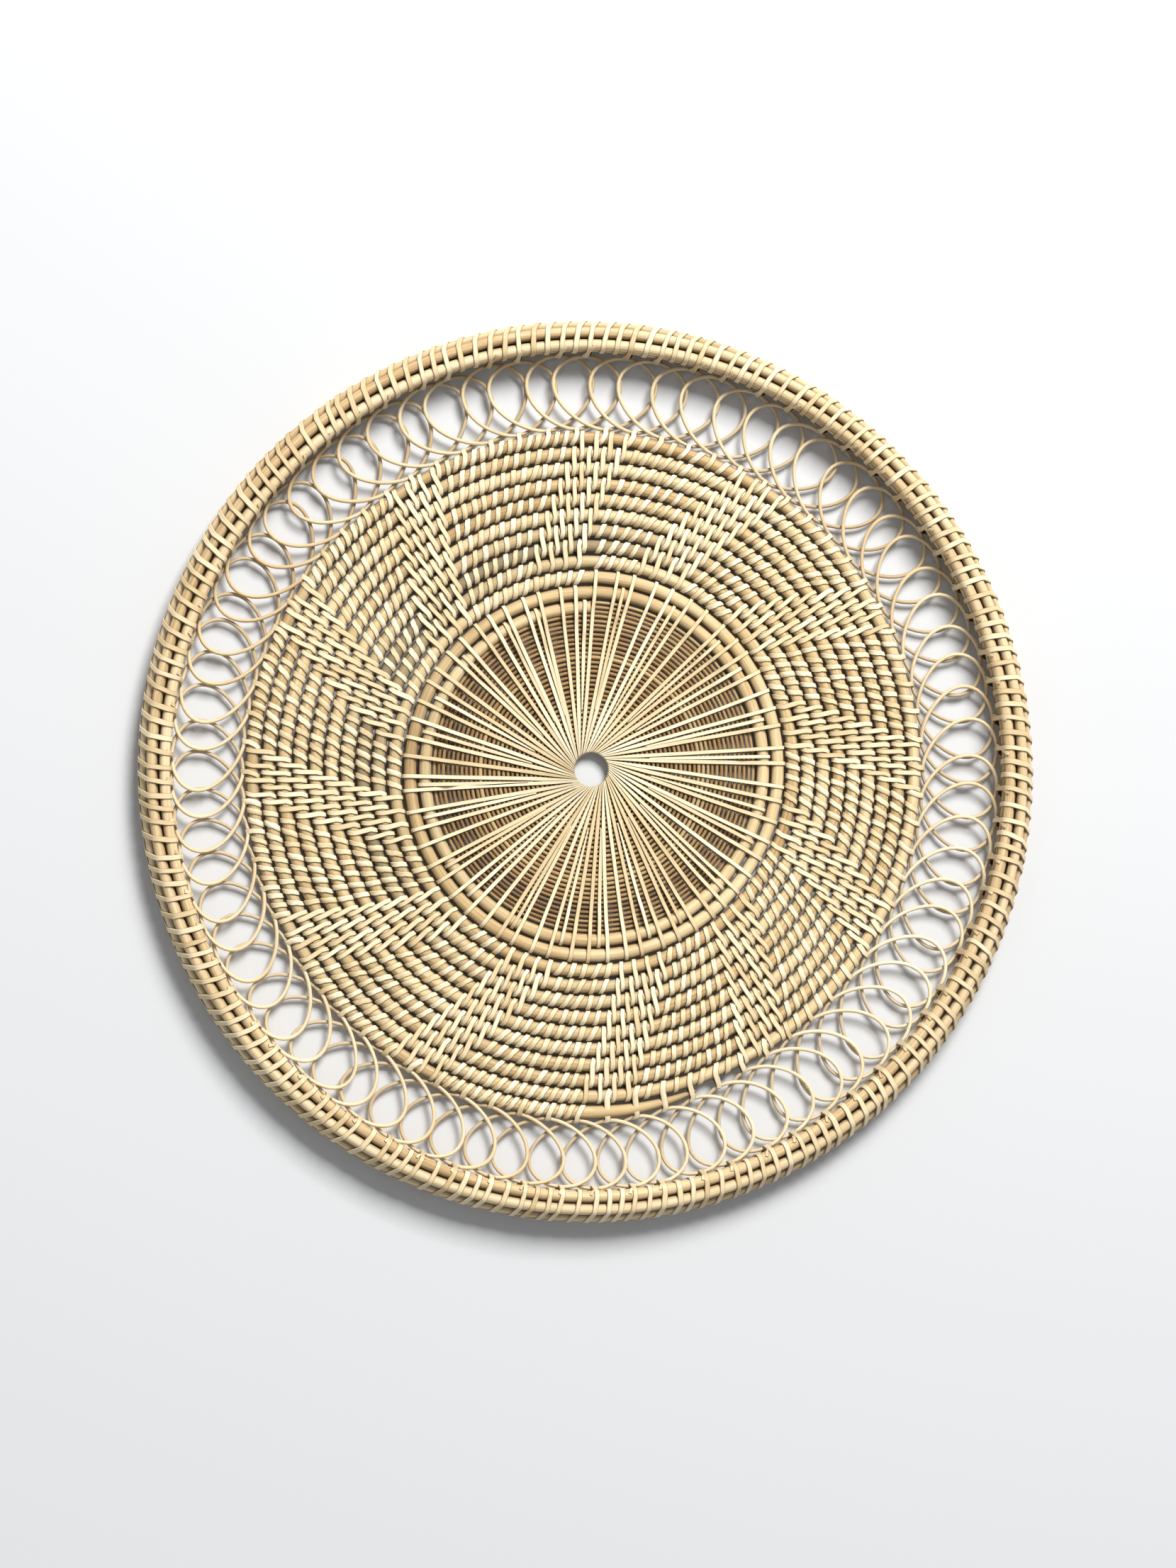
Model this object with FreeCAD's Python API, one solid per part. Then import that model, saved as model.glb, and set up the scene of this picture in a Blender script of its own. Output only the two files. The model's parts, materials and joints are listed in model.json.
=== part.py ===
import FreeCAD
import Part
import math
import os

# Round open-work rattan tray, lying flat with its face up. Z = 0 is the surface
# it stands on, +Z leaves the face, and the centre hole is on the Z axis.
# Everything is in millimetres.

# Rim: seven round hoops, lashed together
overall_diameter = 400.0
hoop_diameter = 5.0
hoop_gap = 0.08
hoop_zigzag = 3.05
top_hoop_gap = 0.38
lashing_thickness = 0.6
lashing_width = 2.2

# Lace: one round strand that winds round in loops between the mat and the rim
loop_count = 74
strand_diameter = 1.75
loop_half_width = 18.0
strand_crossing_gap = 0.15
strand_lift_share = 0.88
strand_lift_softness = 0.2
strand_rim_gap = 0.2
strand_mat_gap = 0.1
loop_top_height = 5.0
points_per_loop = 12
sweep_tolerance = 0.01
sweep_angle_tolerance = 0.05
rod_end_fairing = 22.0

# Mat: one round rod coiled outwards, each row bound with strip
coil_rod_diameter = 5.1
coil_row_gap = 0.53
coil_start_radius = 86.0
coil_turns = 9
coil_tail_angle = 180.0
coil_tip_angle = 18.0
coil_tip_diameter = 1.8
coil_tip_shares = (0, 0.3, 0.65, 1)
mat_lift = 0.8
border_turns = 2
wrap_width = 2.2
wrap_thickness = 0.6
wrap_spacing = 5.0
strip_clearance = 0.05
strip_side_gap = 0.3

# Arms: columns of long stitches that tie each row to the next
arm_count = 12
arm_columns = 4
arm_column_spacing = 6.5

# Centre: fine strands in a three-start spiral, held by flat strips through the hole
hole_radius = 7.3
fine_diameter = 1.9
fine_starts = 3
fine_gap = 0.1
spoke_count = 62
spoke_width = 2.2
spoke_thickness = 0.6
spoke_swirl = 4.8
spoke_first_angle = 3.95
spoke_fill = 0.96
spoke_seam = 40.0
spoke_seam_overlap = 5.0
short_spoke_count = 24
short_spoke_start = 26.0
short_spoke_full = 45.0
short_spoke_width = 2.0
short_spoke_tip_width = 0.3

# Turns of the rim lashing that start a fresh strip: one in so many pairs of loops
fresh_strip_every = 3

# Sizes that follow
hoop_radius = hoop_diameter / 2
strand_radius = strand_diameter / 2
rod_radius = coil_rod_diameter / 2
fine_radius = fine_diameter / 2
coil_pitch = coil_rod_diameter + 2 * (strip_clearance + wrap_thickness) + coil_row_gap
coil_height = rod_radius + strip_clearance + wrap_thickness + mat_lift
strand_lift = (strand_diameter + strand_crossing_gap) / (2 * strand_lift_share)
lashing_reach = strip_clearance + lashing_thickness
hoop_step = hoop_diameter + hoop_gap
hoop_rise = math.sqrt(hoop_step**2 - hoop_zigzag**2)
outer_column = overall_diameter / 2 - lashing_reach - hoop_radius
foot_height = hoop_radius + lashing_reach
inner_column = outer_column - hoop_zigzag - hoop_diameter - top_hoop_gap
top_height = foot_height + 3 * hoop_rise
loop_pitch = 360.0 / loop_count
coil_end = 360.0 * coil_turns + coil_tail_angle
z_axis = FreeCAD.Vector(0, 0, 1)
origin = FreeCAD.Vector(0, 0, 0)

# Each hoop's centre as (radius, height)
hoops = {
    "rim_hoop_top_inner": (inner_column, top_height),
    "rim_hoop_top_outer": (outer_column - hoop_zigzag, top_height),
    "rim_hoop_side": (outer_column, foot_height + 2 * hoop_rise),
    "rim_hoop_mid_inner": (inner_column, top_height - hoop_step),
    "rim_hoop_core": (outer_column - hoop_zigzag, foot_height + hoop_rise),
    "rim_hoop_foot_outer": (outer_column, foot_height),
    "rim_hoop_foot_inner": (outer_column - 2 * hoop_zigzag, foot_height),
}


def at(radius, height):
    """Point in the XZ plane, where every cross-section is drawn."""
    return FreeCAD.Vector(radius, 0, height)


def turned(shape, degrees, centre_y=0.0):
    return shape.rotated(FreeCAD.Vector(0, centre_y, 0), z_axis, degrees)


# ---------------------------------------------------------------- strip bands

def outline(circles, grow):
    """Closed wire round a ring of circles, each (radius, height, size), as a taut strip."""
    if len(circles) == 1:
        r, z, size = circles[0]
        return Part.Wire(Part.makeCircle(size + grow, at(r, z), FreeCAD.Vector(0, 1, 0)))
    tangents = []
    for here, ahead in zip(circles, circles[1:] + circles[:1]):
        dr = ahead[0] - here[0]
        dz = ahead[1] - here[1]
        lean = math.acos((here[2] - ahead[2]) / math.hypot(dr, dz))
        tangents.append(math.atan2(dz, dr) - lean)
    edges = []
    for i, (r, z, size) in enumerate(circles):
        arrive = tangents[i - 1]
        leave = tangents[i]
        swing = (leave - arrive) % (2 * math.pi)
        on_circle = [
            at(r + (size + grow) * math.cos(a), z + (size + grow) * math.sin(a))
            for a in (arrive, arrive + swing / 2, leave)
        ]
        edges.append(Part.Arc(*on_circle).toShape())
        nr, nz, n_size = circles[(i + 1) % len(circles)]
        end = at(nr + (n_size + grow) * math.cos(leave), nz + (n_size + grow) * math.sin(leave))
        edges.append(Part.makeLine(on_circle[2], end))
    return Part.Wire(edges)


def band(circles, width, thickness):
    """Flat strip pulled once round the given circles, centred on the XZ plane."""
    outer = outline(circles, strip_clearance + thickness)
    inner = outline(circles, strip_clearance)
    section = Part.Face(outer).cut(Part.Face(inner))
    section.translate(FreeCAD.Vector(0, -width / 2, 0))
    return section.extrude(FreeCAD.Vector(0, width, 0)).Solids[0]


# ------------------------------------------------------------------- spirals

def half_turn(start_radius, pitch, index):
    """Centre and radius of one semicircle of a spiral drawn from two centres."""
    side = -1 if index % 2 == 0 else 1
    return side * pitch / 4, start_radius + pitch / 4 + index * pitch / 2


def rod_arc(start_radius, pitch, radius, start, end):
    """Round rod along the spiral between two turning angles that start from +Y."""
    pieces = []
    at_angle = start
    while at_angle < end - 1e-6:
        index = math.floor(at_angle / 180 + 1e-9)
        stop = min(end, 180.0 * (index + 1))
        centre_y, rho = half_turn(start_radius, pitch, index)
        section = Part.Face(outline([(rho, coil_height, radius)], 0))
        section.translate(FreeCAD.Vector(0, centre_y, 0))
        axis = FreeCAD.Vector(0, centre_y, 0)
        arc = section.revolve(axis, z_axis, stop - at_angle)
        pieces.append(turned(arc, 90 + at_angle, centre_y))
        at_angle = stop
    if len(pieces) == 1:
        return pieces[0]
    return pieces[0].fuse(pieces[1:]).removeSplitter().Solids[0]


def coil_half(angle):
    return half_turn(coil_start_radius, coil_pitch, math.floor(angle / 180))


def outer_angle(direction):
    """Turning angle of the outermost coil row that lies in a polar direction."""
    turn = (direction - 90) % 360
    while turn + 360 <= coil_end:
        turn += 360
    return turn


def row_radius(direction, turn):
    centre_y, rho = coil_half(turn)
    return rho + centre_y * math.sin(math.radians(direction))


def edge_radius(direction):
    """Radius of the outermost row's centre line, eased in past the coil's end."""
    turn = outer_angle(direction)
    here = row_radius(direction, turn)
    past_end = turn + 360 - coil_end
    if past_end >= rod_end_fairing:
        return here
    share = past_end / rod_end_fairing
    ease = share * share * (3 - 2 * share)
    return here + (1 - ease) * coil_pitch


# ---------------------------------------------------------------------- parts

def rim_hoop(name):
    radius, height = hoops[name]
    return Part.makeTorus(radius, hoop_radius, FreeCAD.Vector(0, 0, height), z_axis)


def rim_circles(names):
    return [hoops["rim_hoop_" + name] + (hoop_radius,) for name in names]


def strand_rim_radius():
    """Radius of the strand's centre line where it lies against the rim lashing."""
    foot_r, foot_z = hoops["rim_hoop_foot_inner"]
    mid_r, mid_z = hoops["rim_hoop_mid_inner"]
    lean = math.hypot(mid_r - foot_r, mid_z - foot_z)
    away = hoop_radius + lashing_reach + strand_rim_gap + strand_radius
    share = (loop_top_height - foot_z) / (mid_z - foot_z)
    return foot_r + share * (mid_r - foot_r) - away * lean / (mid_z - foot_z)


def strand_point(turns):
    """Point on the looped strand; a whole number of turns is where it lies on the mat."""
    angle = 2 * math.pi * turns
    swing = math.degrees(loop_half_width / ((edge_radius(0) + strand_rim_radius()) / 2))
    direction = turns * loop_pitch + swing * math.sin(angle)
    rise = (1 - math.cos(angle)) / 2
    inner = edge_radius(turns * loop_pitch) + rod_radius + strand_mat_gap + strand_radius
    radius = inner + rise * (strand_rim_radius() - inner)
    side = math.sin(angle)
    lift = strand_lift * side / math.hypot(side, strand_lift_softness)
    height = coil_height + rise * (loop_top_height - coil_height) + lift
    bearing = math.radians(direction)
    return FreeCAD.Vector(radius * math.cos(bearing), radius * math.sin(bearing), height)


def loop_strand():
    """The whole strand as one closed tube, one face a loop, upright frame all the way round."""
    steps = loop_count * points_per_loop
    points = [strand_point(i / points_per_loop) for i in range(steps)]
    curve = Part.BSplineCurve()
    curve.interpolate(points, PeriodicFlag=True)
    first = curve.FirstParameter
    span = (curve.LastParameter - first) / loop_count
    loops = [curve.toShape(first + k * span, first + (k + 1) * span) for k in range(loop_count)]
    circle = Part.Wire(Part.makeCircle(strand_radius, curve.value(first), curve.tangent(first)[0]))
    sweep = Part.BRepOffsetAPI.MakePipeShell(Part.Wire(loops))
    sweep.setTolerance(sweep_tolerance, sweep_tolerance, sweep_angle_tolerance)
    sweep.setBiNormalMode(z_axis)
    sweep.add(circle)
    sweep.build()
    sweep.makeSolid()
    return sweep.shape()


def rim_lashing():
    """Plain turns: one after every first loop of a pair, two after every second."""
    hull = rim_circles(["foot_inner", "foot_outer", "side", "top_outer", "top_inner", "mid_inner"])
    turn = band(hull, lashing_width, lashing_thickness)
    plain = []
    fresh = []
    for pair in range(loop_count // 2):
        start = (2 * pair + 0.5) * loop_pitch
        single = turned(turn, start + loop_pitch / 2)
        (fresh if pair % fresh_strip_every == 0 else plain).append(single)
        for third in (1, 2):
            plain.append(turned(turn, start + (1 + third / 3) * loop_pitch))
    return plain, fresh


def loop_ties():
    """Turns of the lashing that also take in the top of a loop."""
    loop_top = (strand_rim_radius(), loop_top_height, strand_radius)
    hull = rim_circles(["foot_inner", "foot_outer", "side", "top_outer", "top_inner"])
    turn = band(hull + [loop_top], lashing_width, lashing_thickness)
    return [turned(turn, (k + 0.5) * loop_pitch) for k in range(loop_count)]


def edge_stitches():
    """One stitch for each loop, round the strand and the mat's outermost row."""
    stitches = []
    for k in range(loop_count):
        direction = k * loop_pitch
        row = row_radius(direction, outer_angle(direction))
        strand = edge_radius(direction) + rod_radius + strand_mat_gap + strand_radius
        circles = [(row, coil_height, rod_radius), (strand, coil_height, strand_radius)]
        stitches.append(turned(band(circles, wrap_width, wrap_thickness), direction))
    return stitches


def coil_tail():
    """Last half row of the coil, with its end pared down to a tip."""
    turn = 360.0 * coil_turns
    rod = rod_arc(coil_start_radius, coil_pitch, rod_radius, turn, coil_end)
    centre_y, rho = half_turn(coil_start_radius, coil_pitch, math.floor(coil_end / 180) - 1)
    tip_radius = coil_tip_diameter / 2
    sections = []
    for share in coil_tip_shares:
        size = rod_radius + share * share * (tip_radius - rod_radius)
        section = outline([(rho - (rod_radius - size), coil_height, size)], 0)
        section.translate(FreeCAD.Vector(0, centre_y, 0))
        sections.append(turned(section, 90 + coil_end + share * coil_tip_angle, centre_y))
    tip = Part.makeLoft(sections, True)
    return rod.fuse(tip).removeSplitter().Solids[0]


def arm_stitches(arm, bound):
    """Long stitches of one arm; each spans two rows and steps on by half a column."""
    stitches = []
    direction = round(arm * 360.0 / arm_count / loop_pitch) * loop_pitch
    turn = outer_angle(direction)
    last_column = (arm_columns - 1) / 2
    while turn >= 360 + coil_tip_angle:
        rho = coil_half(turn)[1]
        column_angle = math.degrees(arm_column_spacing / rho)
        for column in range(arm_columns):
            here = turn + (column - last_column) * column_angle
            if here > coil_end or here < 360:
                continue
            centre_y, outer = coil_half(here)
            circles = [(r, coil_height, rod_radius) for r in (outer - coil_pitch, outer)]
            stitch = band(circles, wrap_width, wrap_thickness)
            stitch.translate(FreeCAD.Vector(0, centre_y, 0))
            stitches.append(turned(stitch, 90 + here, centre_y))
            bound.extend([here, here - 360])
        turn += math.degrees(arm_column_spacing / 2 / (rho - coil_pitch)) - 360
    return stitches


def free_places(start, end, bound):
    """Turning angles for short wraps between the stitches already on a row."""
    places = []
    stops = [start] + sorted(angle for angle in bound if start < angle < end) + [end]
    closest = wrap_width + strip_side_gap
    for here, ahead in zip(stops, stops[1:]):
        room = math.radians(ahead - here) * coil_half(here)[1]
        count = round(room / wrap_spacing) - 1
        while count > 0 and room / (count + 1) < closest:
            count -= 1
        for i in range(count):
            places.append(here + (i + 1) * (ahead - here) / (count + 1))
    return places


def row_wraps(start, end, bound):
    """Short wraps round one row of the coil."""
    wraps = []
    ring = band([(0, coil_height, rod_radius)], wrap_width, wrap_thickness)
    for here in free_places(start, end, bound):
        centre_y, rho = coil_half(here)
        wrap = ring.translated(FreeCAD.Vector(rho, centre_y, 0))
        wraps.append(turned(wrap, 90 + here, centre_y))
    return wraps


def fine_strands():
    """Three fine strands side by side, from the hole out to the border rod."""
    first = hole_radius + spoke_thickness + fine_gap + fine_radius
    border = coil_start_radius - border_turns * coil_pitch
    room = border - rod_radius - fine_gap - fine_radius - first
    full_turns = int(room / (fine_starts * (fine_diameter + fine_gap)) + 1 / fine_starts)
    pitch = room / (full_turns - 1 / fine_starts)
    strands = []
    for k in range(fine_starts):
        start_radius = first + k * pitch / fine_starts
        start = -360.0 * k / fine_starts
        strands.append(rod_arc(start_radius, pitch, fine_radius, start, 360.0 * full_turns))
    return strands


def spoke_shell(turned_rows, half):
    """Thin shell of revolution that the strips are cut from, for one half of the mat.

    It lies on the fine strands and climbs over the given number of border rods.
    """
    first_row = -2 * border_turns + half
    centre_y, inner_row = half_turn(coil_start_radius, coil_pitch, first_row)
    outer_row = inner_row + (turned_rows - 1) * coil_pitch

    def section(grow):
        flat = fine_radius + strip_clearance + grow
        crown = rod_radius + strip_clearance + grow
        upper = [
            (spoke_seam - spoke_seam_overlap, flat),
            (inner_row - rod_radius - fine_radius - fine_gap - grow / 2, flat),
            (inner_row - crown / 2, crown),
            (outer_row + crown / 2, crown),
            (outer_row + crown, crown / 2),
        ]
        lower = [(r, -z) for r, z in reversed(upper)]
        points = [at(r, coil_height + z) for r, z in upper + lower]
        return Part.Face(Part.makePolygon(points + points[:1]))

    def plate(inner, outer, half_height):
        cylinder = Part.makeCylinder(outer, 2 * half_height, at(0, coil_height - half_height))
        hole = Part.makeCylinder(inner, 2 * half_height, at(0, coil_height - half_height))
        return cylinder.cut(hole)

    over_rods = section(spoke_thickness).revolve(origin, z_axis, 360)
    over_rods = over_rods.cut(section(0).revolve(origin, z_axis, 360))
    over_rods.translate(FreeCAD.Vector(0, centre_y, 0))
    flat = fine_radius + strip_clearance
    over_centre = plate(hole_radius, spoke_seam, flat + spoke_thickness)
    over_centre = over_centre.cut(plate(hole_radius + spoke_thickness, spoke_seam, flat))
    return over_centre.fuse(over_rods)


def strip_plan(points, direction):
    """Upright prism whose plan is a strip, set off sideways by the swirl."""
    left = [FreeCAD.Vector(x, spoke_swirl + half, -1) for x, half in points]
    right = [FreeCAD.Vector(x, spoke_swirl - half, -1) for x, half in reversed(points)]
    outline_points = left + right
    prism = Part.Face(Part.makePolygon(outline_points + outline_points[:1]))
    return turned(prism.extrude(FreeCAD.Vector(0, 0, 2 * coil_height + 2)), direction)


def half_of(direction):
    return 0 if 90 <= direction % 360 < 270 else 1


def spokes():
    """Long strips: through the hole and out over both border rods, front and back."""
    shells = [spoke_shell(border_turns, half) for half in (0, 1)]
    spread = spoke_fill * math.tan(math.pi / spoke_count)
    full = spoke_width / 2 / spread
    reach = coil_start_radius + coil_pitch
    points = [(1.0, spread), (full, spoke_width / 2), (reach, spoke_width / 2)]
    strips = []
    for i in range(spoke_count):
        direction = spoke_first_angle + i * 360.0 / spoke_count
        half = half_of(direction + math.degrees(spoke_swirl / coil_start_radius))
        strips.extend(shells[half].common(strip_plan(points, direction)).Solids)
    return strips


def short_spokes():
    """Short strips: hairpins over the inner border rod, tucked in between long ones."""
    shells = [spoke_shell(1, half) for half in (0, 1)]
    points = [
        (short_spoke_start, short_spoke_tip_width / 2),
        (short_spoke_full, short_spoke_width / 2),
        (coil_start_radius, short_spoke_width / 2),
    ]
    strips = []
    for i in range(short_spoke_count):
        gap = round((i + 0.5) * spoke_count / short_spoke_count) + 0.5
        direction = spoke_first_angle + gap * 360.0 / spoke_count
        half = half_of(direction + math.degrees(spoke_swirl / coil_start_radius))
        strips.extend(shells[half].common(strip_plan(points, direction)).Solids)
    return strips


def save(name, shapes):
    shape = shapes[0] if len(shapes) == 1 else Part.makeCompound(shapes)
    shape.exportStep(os.path.join("parts", name + ".step"))
    print(name, len(shape.Solids), round(shape.Volume), shape.isValid())


def main():
    os.makedirs("parts", exist_ok=True)
    for name in hoops:
        save(name, [rim_hoop(name)])
    plain, fresh = rim_lashing()
    save("rim_lashing", plain)
    save("rim_lashing_fresh_strips", fresh)
    save("loop_ties", loop_ties())
    save("loop_strand", [loop_strand()])
    save("loop_edge_stitches", edge_stitches())

    bound = [outer_angle(k * loop_pitch) for k in range(loop_count)]
    for arm in range(arm_count):
        save("arm_%02d_long_stitches" % (arm + 1), arm_stitches(arm, bound))
    for turn in range(coil_turns):
        start = 360.0 * turn
        name = "coil_row_%02d" % (turn + 1)
        rod = rod_arc(coil_start_radius, coil_pitch, rod_radius, start, start + 360)
        save(name, [rod])
        save(name + "_wraps", row_wraps(start, start + 360, bound))
    save("coil_tail", [coil_tail()])
    save("coil_tail_wraps", row_wraps(360.0 * coil_turns, coil_end, bound))
    for turn in range(border_turns):
        start = 360.0 * (turn - border_turns)
        rod = rod_arc(coil_start_radius, coil_pitch, rod_radius, start, start + 360)
        save("border_rod_%d" % (turn + 1), [rod])

    for k, strand in enumerate(fine_strands()):
        save("centre_fine_strand_%d" % (k + 1), [strand])
    save("centre_spokes", spokes())
    save("centre_short_spokes", short_spokes())


main()
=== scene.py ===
import json
import math

import bpy
import numpy as np
from mathutils import Matrix, Vector


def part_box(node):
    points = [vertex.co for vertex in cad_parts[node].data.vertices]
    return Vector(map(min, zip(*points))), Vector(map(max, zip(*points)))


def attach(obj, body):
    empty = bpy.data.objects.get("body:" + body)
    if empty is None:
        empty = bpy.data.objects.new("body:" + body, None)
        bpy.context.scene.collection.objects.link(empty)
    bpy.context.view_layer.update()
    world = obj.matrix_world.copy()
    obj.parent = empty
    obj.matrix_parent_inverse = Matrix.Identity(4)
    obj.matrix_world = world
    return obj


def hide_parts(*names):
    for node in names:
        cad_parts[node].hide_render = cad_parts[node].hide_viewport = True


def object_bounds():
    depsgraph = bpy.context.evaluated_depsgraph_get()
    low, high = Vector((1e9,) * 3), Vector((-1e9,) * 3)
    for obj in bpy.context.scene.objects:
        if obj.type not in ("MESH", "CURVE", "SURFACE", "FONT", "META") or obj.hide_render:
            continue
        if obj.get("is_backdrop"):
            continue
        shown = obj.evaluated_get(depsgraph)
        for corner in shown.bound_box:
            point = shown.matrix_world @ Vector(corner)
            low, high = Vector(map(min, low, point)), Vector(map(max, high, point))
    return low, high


# Round open-work rattan tray, lying flat with its face up. Metres, +Z out of the face.

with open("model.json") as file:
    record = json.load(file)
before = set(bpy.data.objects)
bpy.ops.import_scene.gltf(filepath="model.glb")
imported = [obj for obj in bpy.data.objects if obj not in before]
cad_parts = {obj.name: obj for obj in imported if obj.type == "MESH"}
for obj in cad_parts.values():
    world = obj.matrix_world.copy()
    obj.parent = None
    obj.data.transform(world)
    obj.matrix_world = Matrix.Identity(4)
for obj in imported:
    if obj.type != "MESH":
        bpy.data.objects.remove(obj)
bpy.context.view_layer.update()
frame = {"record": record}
mm = 0.001


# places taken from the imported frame

def hoopPlace(node):
    # centre radius, centre height and rod radius of a round hoop, from its box
    low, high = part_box(node)
    rod = (high.z - low.z) / 2
    return np.array([high.x - rod, (high.z + low.z) / 2, rod])


rimNames = ["foot_inner", "foot_outer", "side", "core", "top_outer", "top_inner", "mid_inner"]
hoops = {name: hoopPlace("rim_hoop_" + name) for name in rimNames}
rowLow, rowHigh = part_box("coil_row_01")
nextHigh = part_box("coil_row_02")[1]
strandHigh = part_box("loop_strand")[1]
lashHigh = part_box("rim_lashing")[1]
hole = next(m for m in frame["record"]["mounts"] if m["name"] == "centre_hole")
matHeight = (rowLow.z + rowHigh.z) / 2
rodRadius = (rowHigh.z - rowLow.z) / 2
coilPitch = nextHigh.y - rowHigh.y
coilStart = rowHigh.y - rodRadius - coilPitch
holeRadius = hole["dims"]["r_mm"] * mm
outerReach = lashHigh.x
print("frame read: mat rods %.2f mm, pitch %.2f mm" % (2 * rodRadius / mm, coilPitch / mm))


# shapes as whole arrays

def unit(v):
    # each vector divided by its own length
    return v / np.maximum(np.linalg.norm(v, axis=-1, keepdims=True), 1e-12)


def wander(turn, seed, waves=(1, 2, 3, 5, 8, 13)):
    # slow unevenness from -1 to 1: a sum of sines of whole waves per turn with seeded phases
    rng = np.random.default_rng(seed)
    phase = rng.uniform(0, 2 * np.pi, len(waves))
    size = rng.uniform(0.5, 1.0, len(waves)) / np.sqrt(waves)
    angle = 2 * np.pi * np.asarray(turn, float)[..., None] * np.array(waves) + phase
    return (np.sin(angle) * size).sum(-1) / size.sum()


def roundProfile(radius, sides):
    # points of a circle, anticlockwise
    a = 2 * np.pi * np.arange(sides) / sides
    return np.stack([radius * np.cos(a), radius * np.sin(a)], -1)


def stripProfile(width, thickness, crown=0.74):
    # flat strip whose upper face is narrower than its lower face, anticlockwise
    w, c = width / 2, crown * width / 2
    return np.array([[-w, 0], [w, 0], [c, thickness], [-c, thickness]])


def sweep(path, up, profile, closed=False, wide=1.0, tall=1.0, tone=0.5, grey=0.0, seed=0):
    # a profile carried along paths: point = path + side * x * wide + up * y * tall,
    # with side = up cross the path's direction, for k paths of n points at once
    path = np.asarray(path, float)
    path = path[None] if path.ndim == 2 else path
    k, n = path.shape[:2]
    m = len(profile)
    ahead, behind = np.roll(path, -1, 1), np.roll(path, 1, 1)
    if not closed:
        ahead[:, -1], behind[:, 0] = path[:, -1], path[:, 0]
    along = unit(ahead - behind)
    side = unit(np.cross(np.broadcast_to(up, path.shape), along))
    lift = np.cross(along, side)
    wide = np.broadcast_to(wide, (k, n))[..., None]
    tall = np.broadcast_to(tall, (k, n))[..., None]
    points = path[:, :, None] + side[:, :, None] * (profile[:, 0] * wide)[..., None]
    points = points + lift[:, :, None] * (profile[:, 1] * tall)[..., None]

    rings = n if closed else n - 1
    s, i, j = np.meshgrid(np.arange(k), np.arange(rings), np.arange(m), indexing="ij")
    corner = lambda a, b: (s * n + a % n) * m + b % m
    quads = np.stack([corner(i, j), corner(i, j + 1), corner(i + 1, j + 1), corner(i + 1, j)], -1)
    steps = np.linalg.norm(np.roll(path, -1, 1) - path, axis=-1)
    u = np.concatenate([np.zeros((k, 1)), np.cumsum(steps, 1)], 1)
    edge = np.linalg.norm(np.roll(profile, -1, 0) - profile, axis=-1)
    v = np.concatenate([[0], np.cumsum(edge)])
    shift = np.random.default_rng(seed + 17).uniform(0, 5, (k, 2))
    uv = np.stack([
        np.stack([u[s, i], u[s, i], u[s, i + 1], u[s, i + 1]], -1) + shift[s, 0][..., None],
        np.stack([v[j], v[j + 1], v[j + 1], v[j]], -1) + shift[s, 1][..., None],
    ], -1)
    quads, uv = quads.reshape(-1, 4), uv.reshape(-1, 4, 2)
    if not closed:
        b = np.arange(m // 2 - 1)
        cap = np.stack([b, b + 1, m - 2 - b, m - 1 - b], -1)
        start = (np.arange(k) * n * m)[:, None, None]
        ends = [cap[None, :, ::-1] + start, cap[None] + start + (n - 1) * m]
        for end in ends:
            quads = np.concatenate([quads, end.reshape(-1, 4)])
            flat = profile[end % m].reshape(-1, 4, 2)
            uv = np.concatenate([uv, flat])
    top = (profile[:, 1] - profile[:, 1].min()) / max(np.ptp(profile[:, 1]), 1e-9)
    spread = lambda value: np.broadcast_to(np.asarray(value, float), (k, n))[..., None]
    return {
        "points": points.reshape(-1, 3),
        "quads": quads,
        "uv": uv,
        "tone": (spread(tone) + 0 * top).reshape(-1),
        "grey": (spread(grey) + 0 * top).reshape(-1),
        "rise": (top + 0 * spread(0.0)).reshape(-1),
    }


def joined(shapes):
    # several shapes as one, with each one's corner numbers moved on past those before it
    starts = np.cumsum([0] + [len(s["points"]) for s in shapes[:-1]])
    whole = {key: np.concatenate([s[key] for s in shapes]) for key in shapes[0] if key != "quads"}
    whole["quads"] = np.concatenate([s["quads"] + a for s, a in zip(shapes, starts)])
    return whole


def paintedShadeMat(points):
    # painted shade mask: 0 on top of the mat's rods and 1 from their middle height down
    share = (points[:, 2] - matHeight) / (rodRadius * 0.95)
    return np.clip(1 - share, 0, 1) ** 1.5


def paintedShadeRim(points):
    # painted shade mask for the rim: depth inside the taut outline round the hoops: the least, over
    # all outward directions, of the furthest hoop's reach less the point's reach
    a = 2 * np.pi * np.arange(72) / 72
    out = np.stack([np.cos(a), np.sin(a)])
    circles = np.stack(list(hoops.values()))
    reach = (circles[:, :2] @ out + circles[:, 2:]).max(0)
    section = np.stack([np.hypot(points[:, 0], points[:, 1]), points[:, 2]], -1)
    return np.clip((reach - section @ out).min(1) / (2.2 * mm), 0, 1)


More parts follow.
